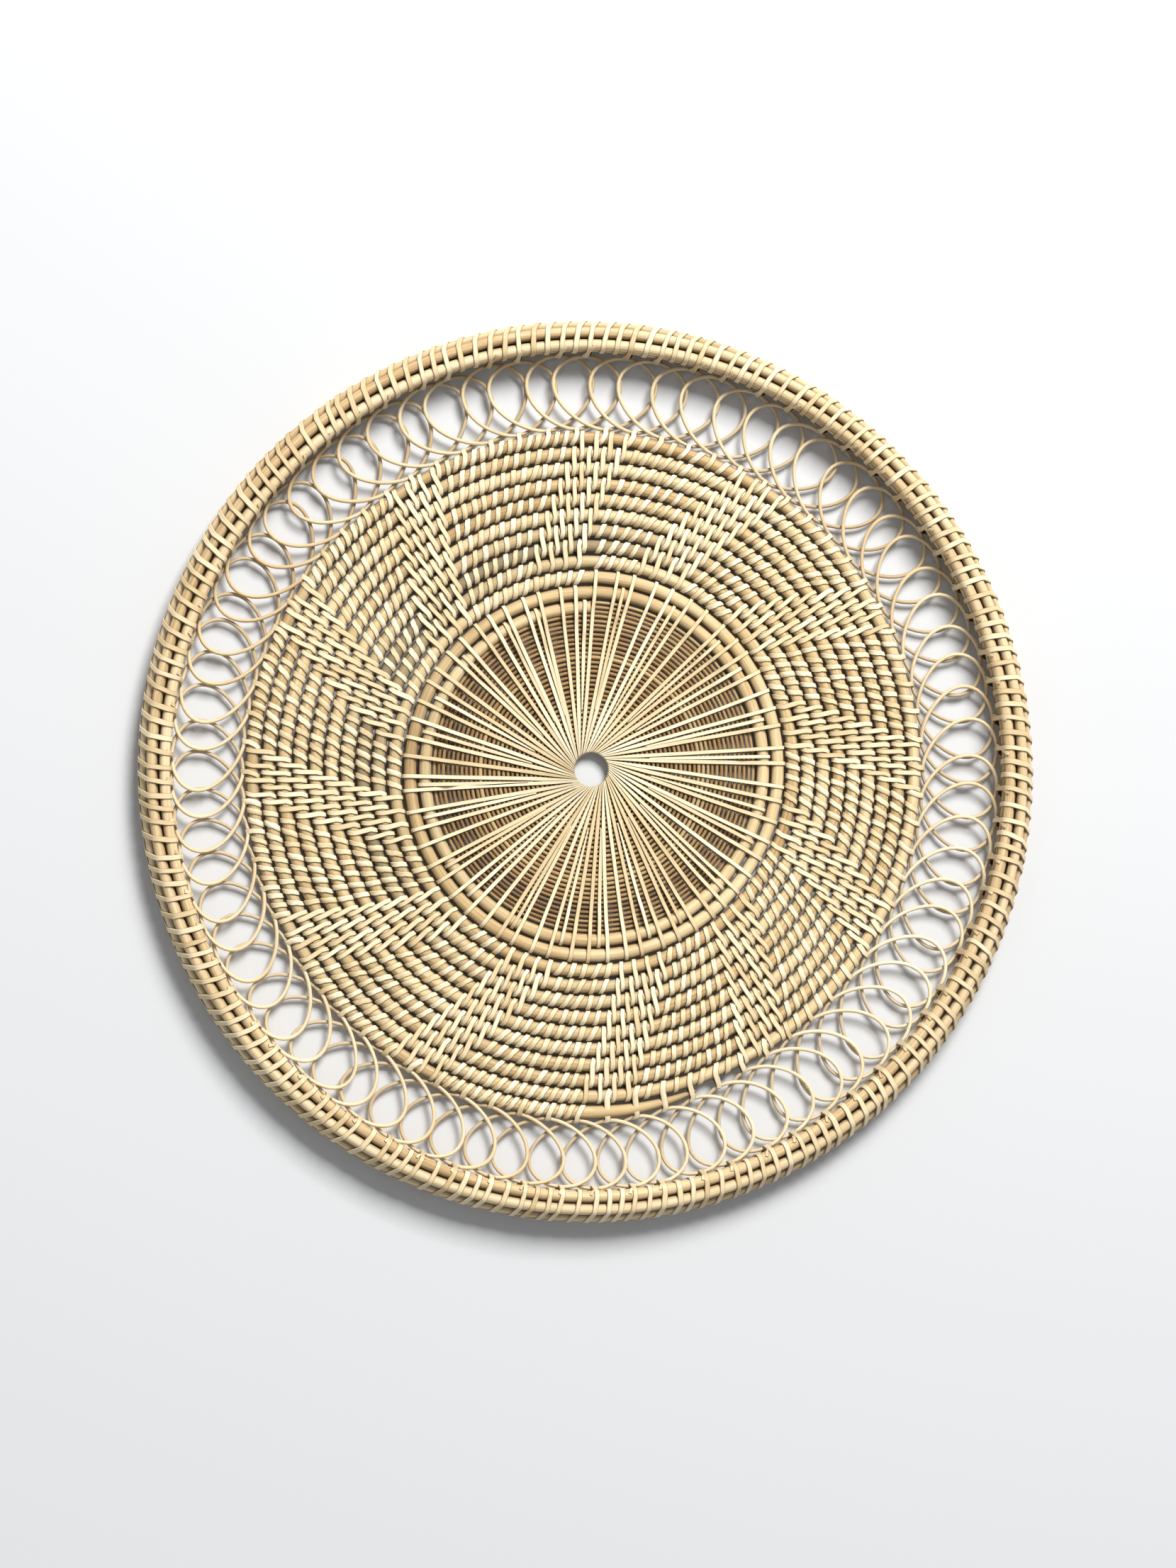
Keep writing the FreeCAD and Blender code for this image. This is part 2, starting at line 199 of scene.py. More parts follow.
def piece(name, shape, material, nodes, sunk=paintedShadeMat):
    # a shape's arrays put into a mesh that rides on the tray and stands for its CAD nodes
    mesh = bpy.data.meshes.new(name)
    quads = shape["quads"]
    # the painted shade mask of every point, kept as a point attribute for the finish
    shape["sunk"] = sunk(shape["points"])
    mesh.vertices.add(len(shape["points"]))
    mesh.vertices.foreach_set("co", shape["points"].astype(np.float32).ravel())
    mesh.loops.add(quads.size)
    mesh.loops.foreach_set("vertex_index", quads.astype(np.int32).ravel())
    mesh.polygons.add(len(quads))
    mesh.polygons.foreach_set("loop_start", np.arange(0, quads.size, 4, dtype=np.int32))
    mesh.polygons.foreach_set("use_smooth", np.ones(len(quads), bool))
    mesh.update(calc_edges=True)
    uvMap = mesh.uv_layers.new(name="run")
    uvMap.data.foreach_set("uv", shape["uv"].astype(np.float32).ravel())
    for key in ("tone", "grey", "rise", "sunk"):
        layer = mesh.attributes.new(key, "FLOAT", "POINT")
        layer.data.foreach_set("value", shape[key].astype(np.float32))
    mesh.set_sharp_from_angle(angle=math.radians(50))
    mesh.materials.append(material)
    made = bpy.data.objects.new(name, mesh)
    bpy.context.scene.collection.objects.link(made)
    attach(made, "root")
    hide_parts(*nodes)
    return made


def placed(bearing, centreY, radial, height, along):
    # point = axis at (0, centreY) + outward * radial + anticlockwise * along, at a height
    x = radial * np.cos(bearing) - along * np.sin(bearing)
    y = centreY + radial * np.sin(bearing) + along * np.cos(bearing)
    return np.stack(np.broadcast_arrays(x, y, height), -1)


def tautLoop(circles, count, start=-0.5 * np.pi + 0.001):
    # a strip pulled tight round circles (across, height, radius): for each outward direction the
    # circle that reaches furthest gives the point; then even steps along the length
    circles = np.asarray(circles, float)
    a = start + 2 * np.pi * np.arange(721) / 720
    out = np.stack([np.cos(a), np.sin(a)], -1)
    reach = out @ circles[:, :2].T + circles[:, 2]
    best = circles[reach.argmax(1)]
    points = best[:, :2] + best[:, 2:] * out
    points[-1] = points[0]
    length = np.concatenate([[0], np.cumsum(np.linalg.norm(np.diff(points, axis=0), axis=1))])
    step = np.linspace(0, length[-1], count + 1)[:-1]
    angle = np.interp(step, length, a)
    return np.interp(step, length, points[:, 0]), np.interp(step, length, points[:, 1]), angle


# rattan finishes

class Socket:
    # a shader socket that adds its Math nodes when it is used in a sum
    def __init__(self, tree, out):
        # the node tree it lives in and the output it stands for
        self.tree, self.out = tree, out

    def node(self, kind, settings, inputs, output=0):
        # any other node: its settings first, then the values or links of its sockets
        made = self.tree.nodes.new(kind)
        for key, value in settings.items():
            setattr(made, key, value)
        for key, value in inputs.items():
            if isinstance(value, Socket):
                self.tree.links.new(value.out, made.inputs[key])
            else:
                made.inputs[key].default_value = value
        return Socket(self.tree, made.outputs[output])

    def maths(self, operation, a, b, clamp=False):
        # a Math node of two values, held between 0 and 1 if asked
        settings = {"operation": operation, "use_clamp": clamp}
        return self.node("ShaderNodeMath", settings, {0: a, 1: b})

    def __add__(self, other):
        # this plus the other
        return self.maths("ADD", self, other)

    def __radd__(self, other):
        # a number plus this
        return self.maths("ADD", other, self)

    def __sub__(self, other):
        # this less the other
        return self.maths("SUBTRACT", self, other)

    def __rsub__(self, other):
        # a number less this
        return self.maths("SUBTRACT", other, self)

    def __mul__(self, other):
        # this times the other
        return self.maths("MULTIPLY", self, other)

    def __rmul__(self, other):
        # a number times this
        return self.maths("MULTIPLY", other, self)

    def clamped(self):
        # this value, never below 0 or above 1
        return self.maths("ADD", self, 0.0, True)

    def between(self, low, high):
        # 0 below low, 1 above high, a straight ramp between
        return ((self - low) * (1 / (high - low))).clamped()

    def mixed(self, dark, light):
        # colour mixed from dark to light by this socket
        settings = {"data_type": "RGBA", "clamp_factor": True}
        return self.node("ShaderNodeMix", settings, {0: self, 6: dark, 7: light}, 2)

    def stretched(self, x, y, z):
        # a vector with each of its parts multiplied by its own factor
        factors = {0: self, 1: (x, y, z)}
        return self.node("ShaderNodeVectorMath", {"operation": "MULTIPLY"}, factors)

    def noise(self, scale, detail=3.0, rough=0.55):
        # smooth noise of a vector, about 0.5 on average
        sizes = {"Vector": self, "Scale": scale, "Detail": detail, "Roughness": rough}
        return self.node("ShaderNodeTexNoise", {}, sizes)


def colour(r, g, b):
    # screen colour from 0 to 255 as the linear colour that sockets take
    c = np.array([r, g, b]) / 255
    c = np.where(c <= 0.04045, c / 12.92, ((c + 0.055) / 1.055) ** 2.4)
    return (*c.tolist(), 1.0)


def rattan(name, look):
    # light, mid and dark colour mixed by strand tone + broad blotches + long fibres; greyed where
    # the strand is weathered; painted shade at the foot of a strip and in sunken places; fibres
    # also give the bump
    material = bpy.data.materials.new(name)
    material.use_nodes = True
    tree = material.node_tree
    tree.nodes.clear()
    base = Socket(tree, None)
    run = base.node("ShaderNodeUVMap", {"uv_map": "run"}, {})
    spot = base.node("ShaderNodeTexCoord", {}, {}, 3)
    tone = base.node("ShaderNodeAttribute", {"attribute_name": "tone"}, {}, 2)
    grey = base.node("ShaderNodeAttribute", {"attribute_name": "grey"}, {}, 2)
    rise = base.node("ShaderNodeAttribute", {"attribute_name": "rise"}, {}, 2)
    sunk = base.node("ShaderNodeAttribute", {"attribute_name": "sunk"}, {}, 2)
    fibre = run.stretched(look["fibreAlong"], look["fibreAcross"], 1).noise(1.0, 3.0, 0.6)
    vein = run.stretched(look["fibreAlong"] * 0.35, look["fibreAcross"] * 0.35, 1).noise(1.0, 2.0)
    blotch = spot.noise(look["blotch"], 2.0)
    speck = spot.noise(look["speck"], 2.0)
    level = tone + (blotch - 0.5) * look["blotchShare"] + (fibre - 0.5) * look["fibreShare"]
    level = level + (vein - 0.5) * look["veinShare"]
    warm = level.between(0.0, 0.5).mixed(look["dark"], look["mid"])
    skin = level.between(0.5, 1.0).mixed(warm, look["light"])
    aged = (grey * (0.7 + blotch * 0.5)).clamped().mixed(skin, look["grey"])
    streak = (fibre.between(0.62, 0.74) * speck.between(0.5, 0.62)) * look["streak"]
    # painted shade: a strip's sides darken towards its foot, where it lies on the rod
    foot = (1.0 - rise.between(0.0, 0.8)) * look["foot"]
    # painted shade in sunken places, from the painted shade mask
    recessShade = sunk * (0.75 + blotch * 0.5) * look["sunk"]
    # the dark colour stands for both the dark fibre streaks and the painted shade
    shade = (streak + foot + recessShade).clamped().mixed(aged, look["streakAndPaintedShade"])
    height = fibre * 0.6 + vein * 0.5 + rise * look["crown"]
    bumpSizes = {"Strength": 0.55, "Distance": 0.18 * mm, "Height": height}
    bump = base.node("ShaderNodeBump", {}, bumpSizes)
    rough = look["rough"] + (fibre - 0.5) * 0.25 + grey * 0.1
    shader = base.node("ShaderNodeBsdfPrincipled", {}, {
        "Base Color": shade, "Roughness": rough, "Normal": bump,
        "Specular IOR Level": look["gloss"],
    })
    out = tree.nodes.new("ShaderNodeOutputMaterial")
    tree.links.new(shader.out, out.inputs["Surface"])
    return material


# colours by strand tone, a dark colour for streaks and painted shade, then fibre sizes (per metre),
# how much each pattern shifts the tone, and how dark the streaks and the painted shade at a strip's
# foot and in sunken places get
stripLook = {
    "light": colour(243, 231, 201), "mid": colour(223, 203, 162), "dark": colour(184, 152, 104),
    "grey": colour(168, 152, 120), "streakAndPaintedShade": colour(84, 58, 30),
    "fibreAlong": 90, "fibreAcross": 3400, "blotch": 55, "speck": 300,
    "blotchShare": 0.4, "fibreShare": 0.6, "veinShare": 0.45,
    "streak": 0.35, "foot": 0.95, "sunk": 0.5, "crown": 0.3, "rough": 0.45, "gloss": 0.4,
}
rodLook = {
    "light": colour(232, 212, 170), "mid": colour(206, 178, 130), "dark": colour(158, 122, 76),
    "grey": colour(138, 124, 98), "streakAndPaintedShade": colour(72, 48, 24),
    "fibreAlong": 45, "fibreAcross": 2300, "blotch": 40, "speck": 260,
    "blotchShare": 0.6, "fibreShare": 1.1, "veinShare": 0.8,
    "streak": 0.7, "foot": 0.0, "sunk": 0.8, "crown": 0.0, "rough": 0.58, "gloss": 0.3,
}
coreLook = dict(
    rodLook, light=colour(242, 227, 196), mid=colour(224, 201, 161), dark=colour(188, 155, 108),
    fibreAcross=3000, rough=0.55, streak=0.3, sunk=0.35,
)
# the fine strands' finish is a darker copy of the core one: partly their own darker tone, partly
# painted shade for the shadow between the spokes
fineLook = dict(
    coreLook, light=colour(220, 190, 138), mid=colour(186, 148, 96), dark=colour(128, 92, 52),
    streakAndPaintedShade=colour(58, 34, 16), sunk=0.55,
)
rimRodLook = dict(
    rodLook, light=colour(240, 222, 186), mid=colour(218, 193, 150), dark=colour(172, 136, 88),
    streak=0.6,
)
rimStripLook = dict(
    stripLook, light=colour(236, 220, 186), mid=colour(212, 189, 147), dark=colour(174, 142, 96),
    sunk=0.6,
)
spokeLook = dict(
    stripLook, light=colour(246, 236, 208), mid=colour(226, 206, 164), sunk=0.1,
)
stripSkin = rattan("rattanStrip", stripLook)
rodSkin = rattan("rattanRod", rodLook)
coreSkin = rattan("rattanCore", coreLook)
spokeSkin = rattan("rattanSpokeStrip", spokeLook)
rimRodSkin = rattan("rattanRimRod", rimRodLook)
rimStripSkin = rattan("rattanRimStrip", rimStripLook)
fineSkin = rattan("rattanFineRod", fineLook)
print("finishes made")


# rim: seven hoops

rimHoop = {
    "points": 420, "sides": 12,
    "wobble": 0.10 * mm,     # how far a hoop strays from a true circle
    "uneven": 0.03,          # share of its thickness
}


def hoopShape(name, seed):
    # closed circle, its radius and height straying a little and its thickness uneven
    radius, height, rod = hoops[name]
    turn = np.arange(rimHoop["points"]) / rimHoop["points"]
    r = radius + rimHoop["wobble"] * wander(turn, seed, (2, 3, 5, 9, 14))
    z = height + rimHoop["wobble"] * wander(turn, seed + 1, (2, 4, 7, 11))
    a = 2 * np.pi * turn
    path = np.stack([r * np.cos(a), r * np.sin(a), z], -1)
    size = 1 - rimHoop["uneven"] + rimHoop["uneven"] * wander(turn, seed + 2, (4, 9, 17, 31))
    tone = 0.55 + 0.4 * wander(turn, seed + 3, (1, 2, 4, 7, 12))
    profile = roundProfile(rod, rimHoop["sides"])
    return sweep(path, (0, 0, 1), profile, True, size, size, tone, seed=seed)


for number, name in enumerate(rimNames):
    words = "".join(w.capitalize() for w in name.split("_"))
    shape = hoopShape(name, 100 + 10 * number)
    piece("rimHoop" + words, shape, rimRodSkin, ["rim_hoop_" + name], paintedShadeRim)
print("rim hoops made")


# lace: one looped strand between the mat and the rim

broad = 1.14                 # the mat's bound rods are this much wider than high
rodSpread = rodRadius * (broad - 1)
lace = {
    "loops": 74, "strand": 1.75 * mm, "halfWidth": 18 * mm, "pointsPerLoop": 36, "sides": 8,
    "lift": 1.08 * mm,       # how far the strand lies above or below itself where it crosses
    "softness": 0.2,         # how gently it changes from one to the other
    "topHeight": 5 * mm,     # height of a loop's top at the rim
    "matGap": 0.1 * mm,      # between the strand and the mat's outermost rod
    "easing": 40,            # degrees past the coil's end over which the strand closes in
    "uneven": 0.07,          # how far a loop's top strays along the rim, share of a loop
    "paired": 0.065,         # and how far the tops of each two loops draw together
    "slack": 0.9 * mm,       # how far a loop's top strays in from the rim
}
loopPitch = 2 * np.pi / lace["loops"]
strandRadius = lace["strand"] / 2
laceOuter = strandHigh.x - strandRadius
besideMat = rodRadius + rodSpread + strandRadius + lace["matGap"]
coilTurns = 9
coilEnd = 360 * coilTurns + 180


def halfTurn(turn):
    # centre and radius of the two-centre spiral's half turn: y = -+pitch/4, r grows by pitch/2
    index = np.floor(turn / 180 + 1e-9)
    centreY = np.where(index % 2 == 0, -1, 1) * coilPitch / 4
    return centreY, coilStart + coilPitch / 4 + index * coilPitch / 2


def outerTurn(direction):
    # turning angle of the outermost row in a direction
    turn = (direction - 90) % 360
    return turn + 360 * np.floor((coilEnd - turn) / 360)


def edgeRadius(direction):
    # radius of the outermost row, and past the coil's end a smooth step down from the row before
    turn = outerTurn(direction)
    centreY, rho = halfTurn(turn)
    here = rho + centreY * np.sin(np.radians(direction))
    share = np.clip((turn + 360 - coilEnd) / lace["easing"], 0, 1)
    return here + (1 - share * share * (3 - 2 * share)) * coilPitch


rng = np.random.default_rng(5)
topShift = rng.uniform(-1, 1, lace["loops"]) * lace["uneven"] * loopPitch
topShift = topShift + np.tile([1, -1], lace["loops"] // 2) * lace["paired"] * loopPitch
topSlack = rng.uniform(0, 1, lace["loops"]) ** 2 * lace["slack"]
loopWidth = rng.uniform(-0.08, 0.08, lace["loops"])
loopTopAngle = (np.arange(lace["loops"]) + 0.5) * loopPitch + topShift


def fromLoops(values, turns):
    # one value a loop, held at its top and eased to the next
    k = np.floor(turns - 0.5).astype(int)
    share = turns - 0.5 - k
    share = share * share * (3 - 2 * share)
    n = lace["loops"]
    return values[k % n] * (1 - share) + values[(k + 1) % n] * share


def strandPath():
    # bearing = turns + swing * sin, radius from the mat's edge out to the rim and back, and the
    # strand lies above on one side of each loop and below on the other
    n = lace["loops"] * lace["pointsPerLoop"]
    turns = np.arange(n) / lace["pointsPerLoop"]
    angle = 2 * np.pi * turns
    middle = (edgeRadius(turns * 360 / lace["loops"]) + laceOuter) / 2
    swing = lace["halfWidth"] / middle * (1 + fromLoops(loopWidth, turns))
    bearing = turns * loopPitch + fromLoops(topShift, turns) + swing * np.sin(angle)
    rise = (1 - np.cos(angle)) / 2
    inner = edgeRadius(np.degrees(bearing) % 360) + besideMat
    radius = inner + rise ** 0.86 * (laceOuter - fromLoops(topSlack, turns) - inner)
    side = np.sin(angle)
    lift = lace["lift"] * side / np.hypot(side, lace["softness"])
    height = matHeight + rise * (lace["topHeight"] - matHeight) + lift
    height = height + 0.12 * mm * wander(turns / lace["loops"], 31, (40, 90, 130))
    return np.stack([radius * np.cos(bearing), radius * np.sin(bearing), height], -1), turns


path, turns = strandPath()
size = 0.97 + 0.05 * wander(turns / lace["loops"], 32, (20, 50, 111))
tone = 0.6 + 0.35 * wander(turns / lace["loops"], 33, (1, 3, 7, 19, 43))
profile = roundProfile(strandRadius, lace["sides"])
strandShape = sweep(path, (0, 0, 1), profile, True, size, size, tone, seed=34)
piece("loopStrand", strandShape, coreSkin, ["loop_strand"])
print("loop strand made")


# rim lashing: strips wound round the hoops, one turn for each loop top and plain turns between

lashing = {
    "width": 2.5 * mm, "thickness": 0.55 * mm, "clearance": 0.05 * mm, "points": 48,
    "lowShift": 4.5 * mm,    # how far a turn moves along the rim as it comes up the low wall
    "wallShift": 6.5 * mm,   # then as it slants over the side hoop to the top one
    "topShift": 1.6 * mm,    # and as it crosses the two top hoops
    "knots": [-90, -12, 44, 96, 180],  # outward angles of the section where these parts meet
    "freshEvery": 3,
}
crossing = {
    "width": 1.7 * mm, "thickness": 0.42 * mm, "clearance": 0.04 * mm,
    "slant": [3 * mm, 5 * mm],   # least and most that a strip moves along the rim
    "past": 1.6 * mm,            # how far past the loop's top it ends
}


def lashingTurns():
    # bearings of all turns and their kinds, 0 for a loop's tie, 1 plain, 2 a fresh strip: one turn
    # at each loop's top, and by turns one or two evenly between it and the next
    n = lace["loops"]
    k = np.arange(n)
    nextTop = np.roll(loopTopAngle, -1) + np.where(k == n - 1, 2 * np.pi, 0)
    ties = loopTopAngle
    single = (ties + nextTop)[0::2] / 2
    gap = (nextTop - ties)[1::2]
    double = np.stack([ties[1::2] + gap / 3, ties[1::2] + gap * 2 / 3], -1).ravel()
    angle = np.concatenate([ties, single, double])
    fresh = np.arange(n // 2) % lashing["freshEvery"] == 0
    kind = np.concatenate([np.zeros(n), 1 + fresh, np.ones(n)])
    order = np.argsort(angle)
    return angle[order], kind[order].astype(int)


def lashingPath(angle, kind):
    # outline points (radius, height) of plain and tied turns, then bearings by knots along them:
    # fast on the outer wall, slowly over the top, and on to the next turn underneath
    grow = lashing["clearance"]
    around = ("foot_inner", "foot_outer", "side", "top_outer", "top_inner")
    ring = [hoops[name] + (0, 0, grow) for name in around]
    plain = tautLoop(ring + [hoops["mid_inner"] + (0, 0, grow)], lashing["points"])
    loopTop = (laceOuter, lace["topHeight"], strandRadius + grow)
    tied = tautLoop(ring + [loopTop], lashing["points"])
    pick = (kind == 0)[:, None]
    ends = lambda v, last: np.append(v, last)
    r = np.where(pick, ends(tied[0], tied[0][0]), ends(plain[0], plain[0][0]))
    z = np.where(pick, ends(tied[1], tied[1][0]), ends(plain[1], plain[1][0]))
    out = np.where(pick, ends(tied[2], 1.5 * np.pi), ends(plain[2], 1.5 * np.pi))
    jitter = np.random.default_rng(41)
    mean = outerReach - 9 * mm
    low = lashing["lowShift"] / mean
    wall = lashing["wallShift"] / mean * jitter.uniform(0.92, 1.08, len(angle))
    top = lashing["topShift"] / mean * jitter.uniform(0.5, 1.5, len(angle))
    follow = np.roll(angle - low - wall - top, -1) - angle
    follow[-1] += 2 * np.pi
    shifts = np.stack([-low - wall - top, -wall - top, -top, -0.1 * top, 0 * top, follow], -1)
    stops = np.radians(lashing["knots"])
    along = np.arange(out.shape[1])
    shift = np.stack([
        np.interp(along, [*np.interp(stops, o, along), along[-1]], s) for o, s in zip(out, shifts)])
    smooth = shift.copy()
    smooth[:, 1:-1] = (shift[:, :-2] + 2 * shift[:, 1:-1] + shift[:, 2:]) / 4
    bearing = angle[:, None] + smooth
    path = np.stack([r * np.cos(bearing), r * np.sin(bearing), z], -1)
    up = np.stack([np.cos(out) * np.cos(bearing), np.cos(out) * np.sin(bearing), np.sin(out)], -1)
    return path, up


def lashingShape(path, up, seed):
    # the strip's section carried along each turn, each turn with its own tone and width
    chance = np.random.default_rng(seed)
    count = len(path)
    tone = chance.uniform(0.45, 1.0, (count, 1))
    wide = chance.uniform(0.85, 1.08, (count, 1)) + 0 * path[..., 0]
    profile = stripProfile(lashing["width"], lashing["thickness"])
    return sweep(path, up, profile, False, wide, 1.0, tone, seed=seed)


def crossStrips():
    # short strips that come up between the two top hoops and slant over the inner one to a loop:
    # part of the taut outline round hoop and loop, its bearing easing towards the loop's top
    radius, height, rod = hoops["top_inner"]
    loopTop = (laceOuter, lace["topHeight"], strandRadius)
    r, z, out = tautLoop([(radius, height, rod + crossing["clearance"]), loopTop], 60, 0)
    keep = slice(9, 32)
    r, z, out = r[keep], z[keep], out[keep]
    share = np.linspace(0, 1, len(r))
    chance = np.random.default_rng(46)
    slant = chance.uniform(*crossing["slant"], (lace["loops"], 1))
    bearing = loopTopAngle[:, None] + (crossing["past"] - slant * (1 - share) ** 1.2) / radius
    path = placed(bearing, 0.0, r, z, 0.0)
    up = placed(bearing, 0.0, np.cos(out) + 0 * bearing, np.sin(out), 0.0)
    tone = chance.uniform(0.4, 0.95, (lace["loops"], 1))
    wide = chance.uniform(0.75, 1.1, (lace["loops"], 1))
    profile = stripProfile(crossing["width"], crossing["thickness"])
    return sweep(path, up, profile, False, wide, 1.0, tone, seed=47)


turnAngle, turnKind = lashingTurns()
lashPath, lashUp = lashingPath(turnAngle, turnKind)
lashPieces = [
    ("loopTies", 0, "loop_ties"),
    ("rimLashing", 1, "rim_lashing"),
    ("freshLashingStrips", 2, "rim_lashing_fresh_strips"),
]
for name, kind, node in lashPieces:
    chosen = turnKind == kind
    shape = lashingShape(lashPath[chosen], lashUp[chosen], 42 + kind)
    if kind == 0:
        shape = joined([shape, crossStrips()])
    piece(name, shape, rimStripSkin, [node], paintedShadeRim)
print("rim lashing made:", len(turnAngle), "turns")


# mat: a rod coiled outwards in a two-centre spiral, with two bare border rods inside it

coil = {
    "pointsPerRow": 260, "sides": 10, "wobble": 0.16 * mm, "uneven": 0.04,
    "tipAngle": 18, "tipRadius": 0.9 * mm,
    "borderBroad": 1.2,          # the border rods are this much wider than high
    "borderShift": 0.25 * mm,    # and the inner one lies this much further out
}


def spiralPath(start, end, count, seed, outward=0.0):
    # points along the spiral between two turning angles, straying a little up and sideways
    turn = np.linspace(start, end, count)
    centreY, rho = halfTurn(np.minimum(turn, end - 1e-6))
    bearing = np.radians(90 + turn)
    rho = rho + outward + coil["wobble"] * wander(turn / 360, seed, (3, 7, 13, 22))
    z = matHeight + coil["wobble"] * wander(turn / 360, seed + 1, (4, 9, 17))
    return placed(bearing, centreY, rho, z, 0.0), turn


def rodTone(turn, seed):
    # golden with slow changes; weathered grey on the inner rows of the left half
    tone = 0.6 + 0.4 * wander(turn / 3600, seed, (7, 13, 23, 41, 67))
    row = turn / 360
    inner = np.clip(1 - np.abs(row - 2.2) / 1.3, 0, 1)
    bearing = np.radians(90 + turn)
    left = np.clip(0.55 - 0.75 * np.cos(bearing), 0, 1)
    patches = np.clip(0.5 + 1.2 * wander(turn / 3600, seed + 5, (11, 17, 31, 53)), 0, 1)
    return tone, np.clip(inner * left * 1.5 * (0.4 + patches) + 0.3 * patches * left, 0, 1)


def rodShape(start, end, seed, width=broad, outward=0.0):
    # round rod between two turning angles, its section stretched sideways by the given width
    count = max(12, int(coil["pointsPerRow"] * (end - start) / 360) + 1)
    path, turn = spiralPath(start, end, count, 51, outward)
    size = 1 - coil["uneven"] + coil["uneven"] * wander(turn / 360, 55, (9, 21, 34))
    tone, grey = rodTone(turn, seed)
    profile = roundProfile(rodRadius, coil["sides"])
    return sweep(path, (0, 0, 1), profile, False, width * size, size, tone, grey, seed)


def tipShape(seed):
    # the pared end: thickness falls with the square of the way along, its inner side kept in line
    share = np.linspace(0, 1, 14)
    radius = rodRadius + share ** 2 * (coil["tipRadius"] - rodRadius)
    centreY, rho = halfTurn(coilEnd - 1.0)
    bearing = np.radians(90 + coilEnd + share * coil["tipAngle"])
    path = placed(bearing, centreY, rho - (rodRadius - radius), matHeight, 0.0)
    wide = radius * (broad - (broad - 1) * share)
    profile = roundProfile(1.0, coil["sides"])
    return sweep(path, (0, 0, 1), profile, False, wide, radius, 0.6, seed=seed)


for row in range(coilTurns):
    shape = rodShape(360 * row, 360 * (row + 1), 60)
    piece("coilRow%02d" % (row + 1), shape, rodSkin, ["coil_row_%02d" % (row + 1)])
tailShape = joined([rodShape(360 * coilTurns, coilEnd, 60), tipShape(61)])
piece("coilTail", tailShape, rodSkin, ["coil_tail"])
for row in (1, 2):
    outward = coil["borderShift"] * (2 - row)
    shape = rodShape(360 * (row - 3), 360 * (row - 2), 70, coil["borderBroad"], outward)
    piece("borderRod%d" % row, shape, rodSkin, ["border_rod_%d" % row])
print("coiled rod made")


# strips round the coil: short wraps, long stitches in twelve arms, and stitches to the lace

wrap = {
    "width": 2.6 * mm, "thickness": 0.42 * mm, "clearance": 0.03 * mm, "spacing": 5.0 * mm,
    "slant": 1.5 * mm,       # half of how far a wrap moves along the rod as it crosses it
    "points": 14,
}
arms = {
    "count": 12, "columns": 4, "spacing": 6.5 * mm, "points": 22, "width": 2.3 * mm,
    "slant": 0.9 * mm,
}


def armTurns(arm):
    # turning angles of one arm's stitches: each row inward steps on by half a column
    direction = round(arm * lace["loops"] / arms["count"]) * 360 / lace["loops"]
    turn = float(outerTurn(direction))
    found = []
    while turn >= 360 + coil["tipAngle"]:
        rho = float(halfTurn(turn)[1])
        column = math.degrees(arms["spacing"] / rho)
        here = turn + (np.arange(arms["columns"]) - (arms["columns"] - 1) / 2) * column
        found.extend(here[(here <= coilEnd) & (here >= 360)].tolist())
        turn += math.degrees(arms["spacing"] / 2 / (rho - coilPitch)) - 360
    return np.array(found)


def bandShape(turn, circles, count, width, slant, chance, tones=(0.45, 1.0)):
    # closed strips round the given circles at many places along the spiral; the strip leans
    # along the rod as it crosses the top, by slant times minus the cosine of its outward angle
    across, height, out = tautLoop(circles, count)
    turn = np.atleast_1d(turn)[:, None]
    centreY, rho = halfTurn(turn)
    bearing = np.radians(90 + turn)
    reach = np.cos(out) * slant * chance.uniform(0.6, 1.4, turn.shape)
    path = placed(bearing, centreY, rho + across, height, -reach)
    up = placed(bearing, 0.0, np.cos(out) + 0 * bearing, np.sin(out), 0.0)
    wide = chance.uniform(0.88, 1.08, turn.shape) + 0 * reach
    tone = chance.uniform(*tones, turn.shape)
    profile = stripProfile(width, wrap["thickness"])
    return sweep(path, up, profile, True, wide, 1.0, tone, seed=int(chance.integers(1000)))


armPlaces = [armTurns(arm) for arm in range(arms["count"])]
stitchDirections = np.arange(lace["loops"]) * 360 / lace["loops"]
stitchTurns = outerTurn(stitchDirections)
bound = np.concatenate(armPlaces + [p - 360 for p in armPlaces] + [stitchTurns])
rodCircle = (rodSpread, matHeight, rodRadius + wrap["clearance"])
nearCircle = (-rodSpread, matHeight, rodRadius + wrap["clearance"])


def wrapPlaces(start, end, chance):
    # even places between the stitches that already cross this row, each strayed a little
    stops = np.concatenate([[start], np.sort(bound[(bound > start) & (bound < end)]), [end]])
    places = []
    for here, ahead in zip(stops[:-1], stops[1:]):
        room = math.radians(ahead - here) * float(halfTurn((here + ahead) / 2)[1])
        count = max(0, round(room / wrap["spacing"]) - 1)
        if count and room / (count + 1) < wrap["width"] + 0.3 * mm:
            count -= 1
        step = (ahead - here) / (count + 1)
        strayed = chance.uniform(-0.06, 0.06, count) * step
        places.extend((here + (np.arange(count) + 1) * step + strayed).tolist())
    return np.array(places)


for row in range(coilTurns + 1):
    chance = np.random.default_rng(80 + row)
    places = wrapPlaces(360 * row, min(360 * (row + 1), coilEnd), chance)
    circles = [nearCircle, rodCircle]
    shape = bandShape(places, circles, wrap["points"], wrap["width"], wrap["slant"], chance)
    node = "coil_row_%02d_wraps" % (row + 1) if row < coilTurns else "coil_tail_wraps"
    name = "coilRow%02dWraps" % (row + 1) if row < coilTurns else "coilTailWraps"
    piece(name, shape, stripSkin, [node])
for arm, places in enumerate(armPlaces):
    chance = np.random.default_rng(120 + arm)
    circles = [(-coilPitch - rodSpread, matHeight, rodCircle[2]), rodCircle]
    shape = bandShape(places, circles, arms["points"], arms["width"], arms["slant"], chance)
    node = "arm_%02d_long_stitches" % (arm + 1)
    piece("arm%02dLongStitches" % (arm + 1), shape, stripSkin, [node])


